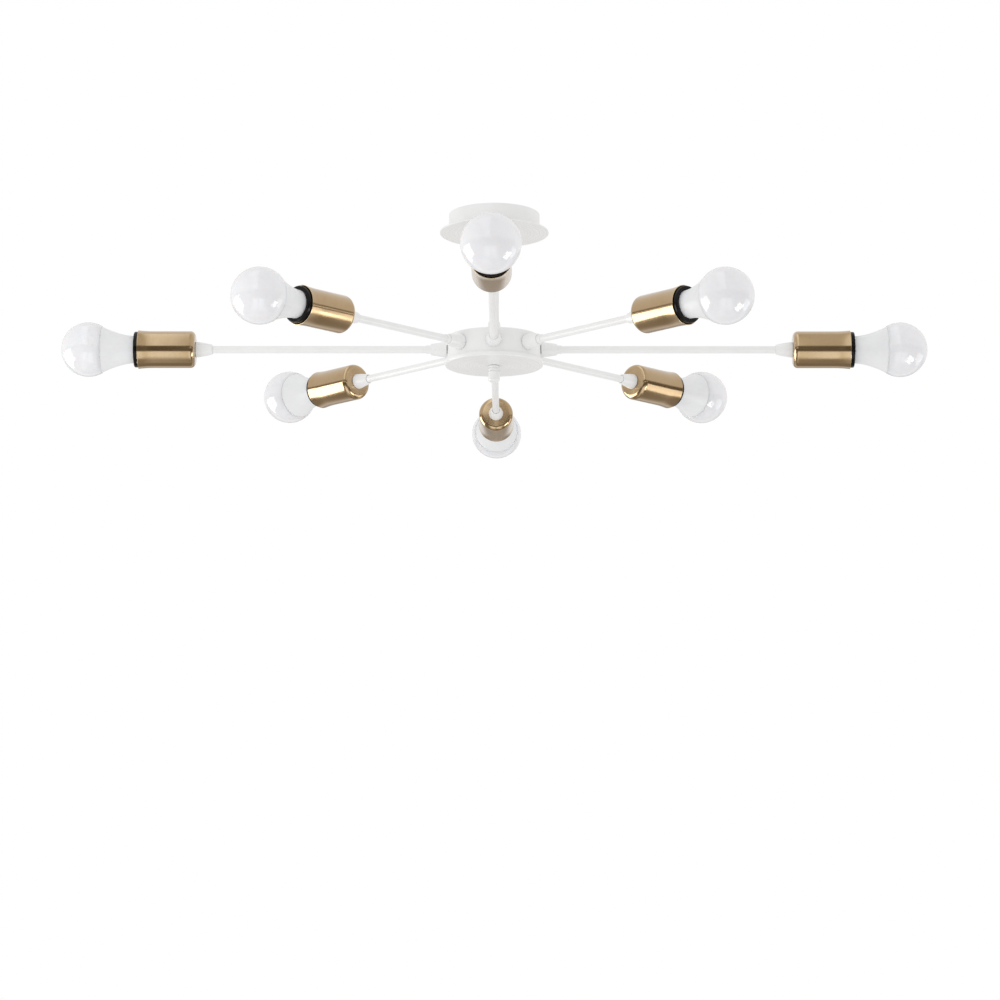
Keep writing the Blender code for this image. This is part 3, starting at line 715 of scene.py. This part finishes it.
def make_downrod(finish):
    low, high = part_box("downrod")
    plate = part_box("canopy_plate")[0].z / MM
    top, tip = high.z / MM, low.z / MM
    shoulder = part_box("hub_drum")[1].z / MM - DRUM_WALL - ROD_SHOULDER
    flange = plate - CLEARANCE
    section = rounded([(ROD_BORE, top), (ROD_RADIUS - 0.4, top)], False)
    section += thread_rows(ROD_RADIUS, top - 0.4, flange + 3, METRIC_DEPTH, ROD_PITCH)
    section += rounded(
        [
            (ROD_RADIUS, flange),
            (FLANGE_RADIUS, flange, 0.3),
            (FLANGE_RADIUS, flange - FLANGE_THICKNESS, 0.8),
            (ROD_RADIUS, flange - FLANGE_THICKNESS, 0.4),
            (ROD_RADIUS, shoulder, 0.2),
            (ROD_TIP_RADIUS, shoulder),
        ],
        False,
    )
    section += thread_rows(ROD_TIP_RADIUS, shoulder - 4, tip + 0.5, METRIC_DEPTH, ROD_PITCH)
    section += rounded(
        [
            (ROD_TIP_BORE, tip),
            (ROD_TIP_BORE, shoulder),
            (ROD_BORE, shoulder + ROD_BORE - ROD_TIP_BORE),
        ],
        False,
    )
    mesh = turned("rod_tube", section, ARM_STEPS, True, ROD_PITCH)
    rod = placed("rod_tube", mesh, Matrix.Identity(4), finish["paint"])
    window = at_height((shoulder + WIRE_WINDOW_HEIGHT) * MM) @ Matrix.Rotation(math.pi / 2, 4, "X")
    combine(rod, "DIFFERENCE", [rod_tool(WIRE_WINDOW_RADIUS, -10, 10, window)])
    stand_in(rod, "frame", "white_paint", "downrod")


def make_rod_nut(finish):
    low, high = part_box("rod_top_nut")
    thickness = (high.z - low.z) / MM
    place = at_height(low.z)
    nut = rod_tool(LOCK_NUT_RADIUS, 0, thickness, place, 6)
    nut.name = "lock_nut"
    nut.data.materials.append(finish["zinc"])
    face = LOCK_NUT_RADIUS - 1
    reach = LOCK_NUT_RADIUS + 0.2
    cone = [
        (0, 0),
        (face, 0),
        (reach, LOCK_NUT_CHAMFER),
        (reach, thickness - LOCK_NUT_CHAMFER),
        (face, thickness),
        (0, thickness),
    ]
    chamfer = placed("tool", turned("tool", rounded(cone, False), HUB_STEPS, False), place)
    combine(nut, "INTERSECT", [chamfer])
    combine(nut, "DIFFERENCE", [rod_tool(ROD_RADIUS + CLEARANCE, -1, thickness + 1, place)])
    stand_in(nut, "frame", "zinc_steel", "rod_top_nut")


def cone_section(bore):
    """The cone that meets the drum: a small base edge, then a straight taper to a rounded tip."""
    return rounded(
        [(bore, 0, 0.2), (CONE_RADIUS, 0, 0.35), (CONE_TIP, CONE_LENGTH, 0.5), (bore, CONE_LENGTH, 0.2)]
    )


def make_rod_cone(finish):
    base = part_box("rod_ferrule")[0].z
    mesh = turned("rod_cone", cone_section(ROD_RADIUS + CLEARANCE), ARM_STEPS)
    cone = placed("rod_cone", mesh, at_height(base), finish["ferrule"])
    stand_in(cone, "frame", "white_ferrule", "rod_ferrule")


def drum_radius():
    low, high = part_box("hub_drum")
    return (high.x - low.x) / 2 / MM


def make_drum(finish):
    low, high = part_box("hub_drum")
    radius = drum_radius()
    height = (high.z - low.z) / MM
    bore = ROD_RADIUS + CLEARANCE
    inner = radius - DRUM_WALL
    section = rounded(
        [
            (radius, height, 1.6),
            (radius, 0, 0.2),
            (inner, 0, 0.2),
            (inner, height - DRUM_WALL, 0.6),
            (bore, height - DRUM_WALL),
            (bore, height),
        ]
    )
    mesh = turned("drum_shell", section, HUB_STEPS)
    drum = placed("drum_shell", mesh, at_height(low.z), finish["hub"])
    boss_end = math.sqrt((radius - DRUM_WALL / 2) ** 2 - BOSS_RADIUS**2)
    boss_start = inner - BOSS_LENGTH
    bosses = [rod_tool(BOSS_RADIUS, boss_start, boss_end, arm_matrix(i)) for i in range(ARM_COUNT)]
    combine(drum, "UNION", bosses)
    bore = STUB_RADIUS + CLEARANCE
    bores = [rod_tool(bore, boss_start - 1, radius + 1, arm_matrix(i)) for i in range(ARM_COUNT)]
    combine(drum, "DIFFERENCE", bores)
    stand_in(drum, "frame", "hub_white", "hub_drum")


def make_cover(finish):
    low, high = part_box("hub_cover")
    radius = (high.x - low.x) / 2 / MM
    height = (high.z - low.z) / MM
    lip = drum_radius() - DRUM_WALL - CLEARANCE
    bore = ROD_TIP_RADIUS + CLEARANCE
    section = rounded(
        [
            (lip - COVER_WALL, height, 0.3),
            (lip, height, 0.3),
            (lip, COVER_TOP, 0.2),
            (radius, COVER_TOP, 0.35),
            (radius, 0, 2.4),
            (bore, 0, 0.2),
            (bore, COVER_WALL, 0.2),
            (lip - COVER_WALL, COVER_WALL, 0.5),
        ]
    )
    mesh = turned("cover_disc", section, HUB_STEPS)
    cover = placed("cover_disc", mesh, at_height(low.z), finish["disc"])
    stand_in(cover, "frame", "hub_white", "hub_cover")


def make_finial(finish):
    low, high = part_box("finial")
    length = (high.z - low.z) / MM
    bore = ROD_TIP_RADIUS + CLEARANCE
    corners = [(0, length - FINIAL_BORE), (bore, length - FINIAL_BORE), (bore, length)]
    height = length
    for _ in range(2):
        waist = height - FINIAL_BEAD
        corners += [(FINIAL_RADIUS, height, 0.35), (FINIAL_RADIUS, waist, 0.4)]
        height -= FINIAL_STEP
        corners += [(FINIAL_WAIST, waist, 0.15), (FINIAL_WAIST, height, 0.15)]
    corners += [(FINIAL_RADIUS, height, 0.4), (FINIAL_RADIUS, 0, 3.6), (0, 0)]
    mesh = turned("finial_cap", rounded(corners, False), ARM_STEPS, False)
    finial = placed("finial_cap", mesh, at_height(low.z), finish["hub"])
    stand_in(finial, "frame", "hub_white", "finial")


# ---------------------------------------------------------------- arms


def tube_section(stub, cone_base, end):
    """The arm tube with its threaded stub and the collar under the root cone's tip."""
    stub, cone_base, end = stub / MM, cone_base / MM, end / MM
    collar = cone_base + CONE_LENGTH + COLLAR_LENGTH
    section = rounded(
        [(TUBE_BORE, end, 0.15), (TUBE_BORE, stub, 0.15), (STUB_RADIUS - 0.5, stub)], False
    )
    section += thread_rows(STUB_RADIUS, stub + 0.4, cone_base - 0.6, METRIC_DEPTH, STUB_PITCH)
    section += rounded(
        [
            (COLLAR_RADIUS, cone_base),
            (COLLAR_RADIUS, collar, 0.3),
            (TUBE_RADIUS, collar, 0.12),
            (TUBE_RADIUS, end, 0.2),
        ],
        False,
    )
    return section


def ferrule_section():
    """The collar between tube and cup, from its seat at height 0 back to its tip."""
    bore = TUBE_RADIUS + CLEARANCE
    corners = [(bore, 0, 0.1), (FERRULE_RADIUS, 0, 0.3)]
    for i in range(1, 12):
        share = i / 12
        radius = FERRULE_RADIUS - (FERRULE_RADIUS - FERRULE_TIP) * share**FERRULE_SWELL
        corners.append((radius, -FERRULE_LENGTH * share))
    return rounded(corners + [(FERRULE_TIP, -FERRULE_LENGTH, 0.3), (bore, -FERRULE_LENGTH, 0.1)])


def cup_radius(height):
    """The cup's outside at a height above its base: straight, then flared towards the rim."""
    share = max(0.0, (height - CUP_LENGTH + CUP_FLARE_LENGTH) / CUP_FLARE_LENGTH)
    return CUP_RADIUS + CUP_FLARE * share**2


def fillet_arc(radius, fillet, base):
    """Points round the cup's closed end, from the wall to the flat."""
    turns = [math.radians(90 * i / 8) for i in range(9)]
    return [
        (radius - fillet + fillet * math.cos(t), base + fillet - fillet * math.sin(t)) for t in turns
    ]


def cup_section():
    bore = TUBE_RADIUS + CLEARANCE
    heights = [CUP_LENGTH - CUP_FLARE_LENGTH * i / 6 for i in range(7)]
    rim = cup_radius(CUP_LENGTH)
    corners = [(rim, CUP_LENGTH, 0.4)]
    corners += [(cup_radius(h), h) for h in heights[1:]]
    corners += fillet_arc(CUP_RADIUS, CUP_FILLET, 0)
    corners += [(bore, 0, 0.2), (bore, CUP_WALL)]
    corners += reversed(fillet_arc(CUP_RADIUS - CUP_WALL, CUP_FILLET - CUP_WALL, CUP_WALL))
    corners += [(cup_radius(h) - CUP_WALL, h) for h in reversed(heights[1:])]
    corners += [(rim - CUP_WALL, CUP_LENGTH, 0.4)]
    return rounded(corners)


def cup_mesh(finish):
    """The brass cup, whose cut rim has its own bright finish."""
    mesh = turned("brass_cup", cup_section(), SOCKET_STEPS)
    mesh.materials.append(finish["brass"])
    mesh.materials.append(finish["edge"])
    rim = (CUP_LENGTH - 0.5) * MM
    for face in mesh.polygons:
        if min(mesh.vertices[v].co.z for v in face.vertices) > rim:
            face.material_index = 1
    return mesh


def holder_section():
    """The black lampholder in the cup's own heights: a proud ring, a stepped mouth and a bore."""
    front = HOLDER_FRONT
    ring_back = front - HOLDER_RING
    body = CUP_RADIUS - CUP_WALL - CLEARANCE
    ring = cup_radius(ring_back) - CUP_WALL - CLEARANCE
    floor = front - HOLDER_DEPTH
    back = CUP_WALL + CLEARANCE
    pocket = TUBE_RADIUS + CLEARANCE
    return rounded(
        [
            (HOLDER_MOUTH, front, 0.5),
            (ring, front, 1.4),
            (ring, ring_back),
            (body, ring_back - 0.4),
            (body, back + HOLDER_SHOULDER),
            (body - HOLDER_SHOULDER, back),
            (pocket, back),
            (pocket, back + HOLDER_POCKET),
            (WIRE_HOLE_RADIUS, back + HOLDER_POCKET),
            (WIRE_HOLE_RADIUS, floor),
            (HOLDER_BORE, floor),
            (HOLDER_BORE, front - HOLDER_MOUTH_DEPTH, 0.3),
            (HOLDER_MOUTH, front - HOLDER_MOUTH_DEPTH),
        ]
    )


def shell_section():
    """The plated screw shell in the lampholder, in the bulb's heights."""
    outer = HOLDER_BORE - SHELL_WALL
    section = rounded([(outer, SHELL_BACK), (outer, SHELL_FRONT)], False)
    inner = CAP_RADIUS + CLEARANCE
    return section + thread_rows(inner, SHELL_FRONT, SHELL_BACK, CAP_THREAD_DEPTH, CAP_PITCH)


def dome_section():
    """The opal dome in the bulb's heights, down to a small lip at its seam with the housing."""
    centre = BULB_REACH - BULB_RADIUS
    lowest = math.asin((BULB_SEAM - centre) / BULB_RADIUS)
    corners = [(0, BULB_REACH)]
    for i in range(1, 29):
        turn = math.pi / 2 + (lowest - math.pi / 2) * i / 28
        corners.append((BULB_RADIUS * math.cos(turn), centre + BULB_RADIUS * math.sin(turn)))
    edge = corners.pop()
    inside = BULB_SEAM + 0.5
    corners += [(*edge, 0.15), (edge[0] - 0.3, BULB_SEAM - 0.15, 0.1), (edge[0] - 1.4, inside)]
    return rounded(corners + [(0, inside)], False)


def housing_section():
    """The bulb's lower half: it narrows from the seam to the neck along a hollow curve."""
    top = BULB_SEAM - 0.1
    corners = [(0, top + 0.4), (BULB_SHOULDER - 0.3, top + 0.4), (BULB_SHOULDER, top, 0.3)]
    for i in range(1, 21):
        rest = 1 - i / 20
        corners.append((BULB_NECK + (BULB_SHOULDER - BULB_NECK) * rest**BULB_HOLLOW, top * rest))
    return rounded(corners + [(BULB_NECK, -1, 0.4), (0, -1)], False)


def cap_section():
    """The E27 cap: a plain collar, a rolled thread and the edge turned in over the insulator."""
    section = rounded([(0, CAP_TOP), (CAP_RADIUS, CAP_TOP)], False)
    section += thread_rows(CAP_RADIUS, CAP_TOP - 0.5, CAP_EDGE + 0.5, CAP_THREAD_DEPTH, CAP_PITCH)
    rim = [(CAP_RADIUS - 0.8, CAP_EDGE, 0.3), (CAP_MOUTH, CAP_EDGE - 1.2, 0.3), (0, CAP_EDGE - 1.2)]
    return section + rounded(rim, False)


def insulator_section():
    """The black glass at the end of the cap, in the bulb's heights."""
    corners = [(0, -23.8), (9.2, -23.8), (9, -24.3, 0.2), (5.4, CAP_END, 0.3), (0, CAP_END)]
    return rounded(corners, False)


def contact_section():
    """The centre contact, a button with a crowned solder spot."""
    return rounded([(0, -26.5), (4.6, -26.5, 0.2), (4.3, -27.6, 0.5), (2, -27.8, 0.5), (0, -28)], False)


def make_arm_meshes(finish):
    """Meshes shared by all arms, with their finishes: section, finish, steps, closed, pitch."""
    made = {
        "root_cone": (cone_section(COLLAR_RADIUS + 0.05), "ferrule", ARM_STEPS, True, 0),
        "socket_bell": (ferrule_section(), "ferrule", ARM_STEPS, True, 0),
        "holder_body": (holder_section(), "black", SOCKET_STEPS, True, 0),
        "screw_shell": (shell_section(), "nickel", THREAD_STEPS, True, CAP_PITCH),
        "bulb_dome": (dome_section(), "dome", SOCKET_STEPS, False, 0),
        "bulb_housing": (housing_section(), "housing", SOCKET_STEPS, False, 0),
        "bulb_cap": (cap_section(), "nickel", THREAD_STEPS, False, CAP_PITCH),
        "bulb_insulator": (insulator_section(), "glass", ARM_STEPS, False, 0),
        "bulb_button": (contact_section(), "tin", ARM_STEPS, False, 0),
    }
    meshes = {}
    for name, (section, key, steps, closed, pitch) in made.items():
        meshes[name] = turned(name, section, steps, closed, pitch)
        meshes[name].materials.append(finish[key])
    meshes["brass_cup"] = cup_mesh(finish)
    return meshes


def make_arms(finish):
    meshes = make_arm_meshes(finish)
    tubes = {}
    cone_base = (drum_radius() + CLEARANCE) * MM
    for index in range(ARM_COUNT):
        number = index + 1
        stub, tube_end = along_arm(f"arm_{number}", index)
        length = round(tube_end, 4)
        if length not in tubes:
            section = tube_section(stub, cone_base, tube_end)
            tubes[length] = turned("arm_tube", section, ARM_STEPS, True, STUB_PITCH)
        seat = along_arm(f"socket_ferrule_{number}", index)[1]
        cup_base = along_arm(f"socket_cup_{number}", index)[0]
        front = along_arm(f"lampholder_{number}", index)[1]
        bulb, contact = f"bulb_{number}", f"bulb_contact_{number}"
        meshes["arm_tube"] = tubes[length]
        rows = [
            ("arm_tube", 0, "frame", "white_paint", f"arm_{number}"),
            ("root_cone", cone_base, "frame", "white_paint", f"arm_{number}"),
            ("socket_bell", seat, "frame", "white_ferrule", f"socket_ferrule_{number}"),
            ("brass_cup", cup_base, "frame", "brushed_brass", f"socket_cup_{number}"),
            ("holder_body", cup_base, "frame", "black_phenolic", f"lampholder_{number}"),
            ("screw_shell", front, "frame", "contact_tin", f"lampholder_{number}"),
            ("bulb_dome", front, bulb, "opal_bulb", bulb),
            ("bulb_housing", front, bulb, "opal_bulb", bulb),
            ("bulb_cap", front, bulb, "opal_bulb", bulb),
            ("bulb_insulator", front, bulb, "opal_bulb", bulb),
            ("bulb_button", front, contact, "contact_tin", contact),
        ]
        for name, distance, body, slot, node in rows:
            place = arm_matrix(index, distance)
            piece = placed(f"{name}_{number}", meshes[name], place, finish["paint"])
            stand_in(piece, body, slot, node)


# ---------------------------------------------------------------- light, floor and camera


def make_world():
    """A mirrored studio, a soft tent and a plain white background, each for its own rays."""
    world = bpy.data.worlds.new("studio")
    world.cycles.sampling_method = "NONE"
    bpy.context.scene.world = world
    world.use_nodes = True
    tree = world.node_tree
    tree.nodes.clear()
    place = tree.nodes.new("ShaderNodeTexCoord").outputs["Generated"]
    parts = tree.nodes.new("ShaderNodeSeparateXYZ")
    tree.links.new(place, parts.inputs["Vector"])
    white = tree.nodes.new("ShaderNodeRGB").outputs["Color"]
    white.default_value = (1, 1, 1, 1)
    rays = tree.nodes.new("ShaderNodeLightPath").outputs
    mirrored = surroundings(tree, parts, MIRRORED, MIRRORED_WARMTH)
    tent = surroundings(tree, parts, TENT, TENT_WARMTH)
    light = blended(tree, rays["Is Diffuse Ray"], 0, 1, mirrored, tent)
    seen = blended(tree, rays["Is Camera Ray"], 0, 1, light, white)
    background = tree.nodes.new("ShaderNodeBackground")
    tree.links.new(seen, background.inputs["Color"])
    output = tree.nodes.new("ShaderNodeOutputWorld")
    tree.links.new(background.outputs["Background"], output.inputs["Surface"])


def surroundings(tree, parts, levels, warmth):
    """The zones of a studio, blended where they meet."""
    across = parts.outputs["X"]
    away = tree.nodes.new("ShaderNodeMath")
    away.operation = "ABSOLUTE"
    tree.links.new(across, away.inputs["Value"])
    away = away.outputs["Value"]
    zones = ("left", "right", "side", "back")
    left, right, side, back = (banded(tree, parts, levels[zone], warmth) for zone in zones)
    gap = banded(tree, parts, [(-1, GAP_LEVEL), (1, GAP_LEVEL)], warmth)
    front = blended(tree, across, *LEFT_TO_RIGHT, left, right)
    front = blended(tree, away, *GAP_TO_FRONT, gap, front)
    front = blended(tree, away, *FRONT_TO_SIDE, front, side)
    return blended(tree, parts.outputs["Y"], *FRONT_TO_BACK, front, back)


def banded(tree, parts, stops, warmth):
    """Levels that change with the height of a direction."""
    share = tree.nodes.new("ShaderNodeMapRange")
    share.inputs["From Min"].default_value = -1
    tree.links.new(parts.outputs["Z"], share.inputs["Value"])
    ramp = tree.nodes.new("ShaderNodeValToRGB")
    elements = ramp.color_ramp.elements
    while len(elements) < len(stops):
        elements.new(1)
    for element, (height, level) in zip(elements, stops):
        element.position = (height + 1) / 2
        element.color = (level, level ** warmth[0], level ** warmth[1], 1)
    tree.links.new(share.outputs["Result"], ramp.inputs["Fac"])
    return ramp.outputs["Color"]


def blended(tree, value, low, high, before, after):
    """One level below the low value, the other above the high one."""
    share = tree.nodes.new("ShaderNodeMapRange")
    share.inputs["From Min"].default_value = low
    share.inputs["From Max"].default_value = high
    tree.links.new(value, share.inputs["Value"])
    mix = tree.nodes.new("ShaderNodeMix")
    mix.data_type = "RGBA"
    tree.links.new(share.outputs["Result"], mix.inputs["Factor"])
    tree.links.new(before, mix.inputs["A"])
    tree.links.new(after, mix.inputs["B"])
    return mix.outputs["Result"]


def make_lights():
    for name, place, (width, height), power in PANELS + LAMPS:
        light = bpy.data.lights.new(name, "AREA")
        light.shape = "RECTANGLE"
        light.size = width
        light.size_y = height
        light.energy = power
        obj = bpy.data.objects.new(name, light)
        bpy.context.scene.collection.objects.link(obj)
        obj.location = place
        obj.rotation_euler = (AIM - Vector(place)).to_track_quat("-Z", "Y").to_euler()
        obj.visible_camera = False
    for name, *_ in PANELS:
        bpy.data.objects[name].visible_diffuse = False
    for name, *_ in LAMPS:
        bpy.data.objects[name].visible_glossy = False


def make_floor():
    """A pale floor well below the light. It doesn't take part in the light on the object."""
    finish = Finish("studio_floor", (0.86, 0.86, 0.86), 0.7)
    finish.tint(finish.noise(2), (0.84, 0.84, 0.84))
    cage = bmesh.new()
    bmesh.ops.create_grid(cage, x_segments=8, y_segments=8, size=FLOOR_REACH)
    mesh = mesh_from("floor", cage)
    floor = placed("floor", mesh, at_height(FLOOR_HEIGHT), finish.material)
    floor.visible_diffuse = False
    floor.visible_glossy = False
    floor.visible_shadow = False


def make_camera():
    """A long lens from below, which looks up at the light under the ceiling."""
    data = bpy.data.cameras.new("camera")
    data.lens = CAMERA_LENS
    data.sensor_width = CAMERA_SENSOR
    camera = bpy.data.objects.new("camera", data)
    bpy.context.scene.collection.objects.link(camera)
    pan = Matrix.Rotation(math.radians(CAMERA_PAN), 4, "Z")
    tilt = Matrix.Rotation(math.radians(CAMERA_TILT), 4, "X")
    roll = Matrix.Rotation(math.radians(CAMERA_ROLL), 4, "Z")
    camera.matrix_world = Matrix.Translation(CAMERA_PLACE) @ pan @ tilt @ roll
    bpy.context.scene.camera = camera
    bpy.context.scene.view_settings.view_transform = "Standard"


def build():
    finish = all_finishes()
    make_canopy(finish)
    make_cap_nuts(finish)
    make_bracket(finish)
    make_terminal_block(finish)
    make_downrod(finish)
    make_rod_nut(finish)
    make_rod_cone(finish)
    make_drum(finish)
    make_cover(finish)
    make_finial(finish)
    make_arms(finish)
    make_world()
    make_lights()
    make_floor()
    make_camera()


build()
